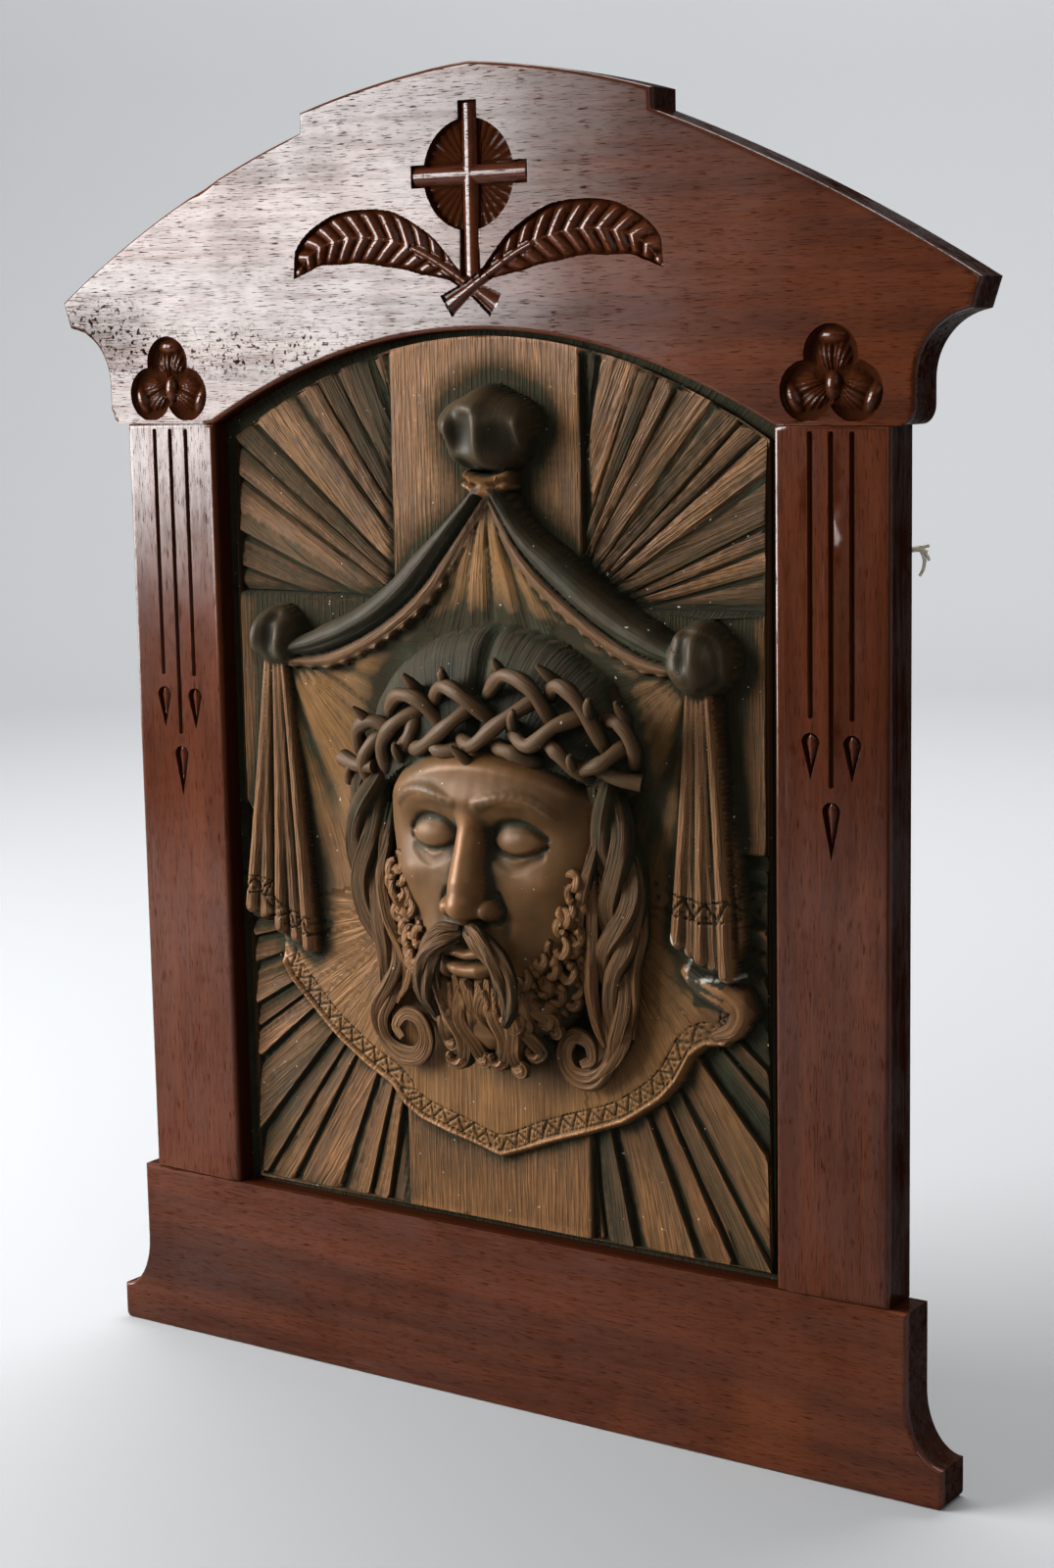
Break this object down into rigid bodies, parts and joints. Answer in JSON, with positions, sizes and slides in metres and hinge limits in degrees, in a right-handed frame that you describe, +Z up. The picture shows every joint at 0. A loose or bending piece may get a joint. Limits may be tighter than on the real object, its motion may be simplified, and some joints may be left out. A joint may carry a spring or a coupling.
{
  "type": "religious plaque",
  "caption": "Carved wooden frame with an arched, eared header around a deep relief of a draped veil bearing a thorn-crowned head on a rayed cross.",
  "frame": {"origin": "middle of the base rail's underside, halfway through the boards' thickness", "axes": "+Z up, the front faces -Y, +X to the right as seen from the front"},
  "size_m": [0.477, 0.0691, 0.597],
  "materials": {
    "mahogany": "satin varnished dark red-brown mahogany",
    "bronzed_casting": "copper-brown bronzed casting with green-black patina",
    "steel": "dulled steel wire",
    "cord": "beige cotton cord"
  },
  "bodies": {
    "root": {"header": "mahogany", "stile_left": "mahogany", "stile_right": "mahogany", "base_rail": "mahogany", "relief_panel": "bronzed_casting", "screw_eye_left": "steel", "screw_eye_right": "steel", "hanging_cord": "cord"}
  },
  "joints": []
}
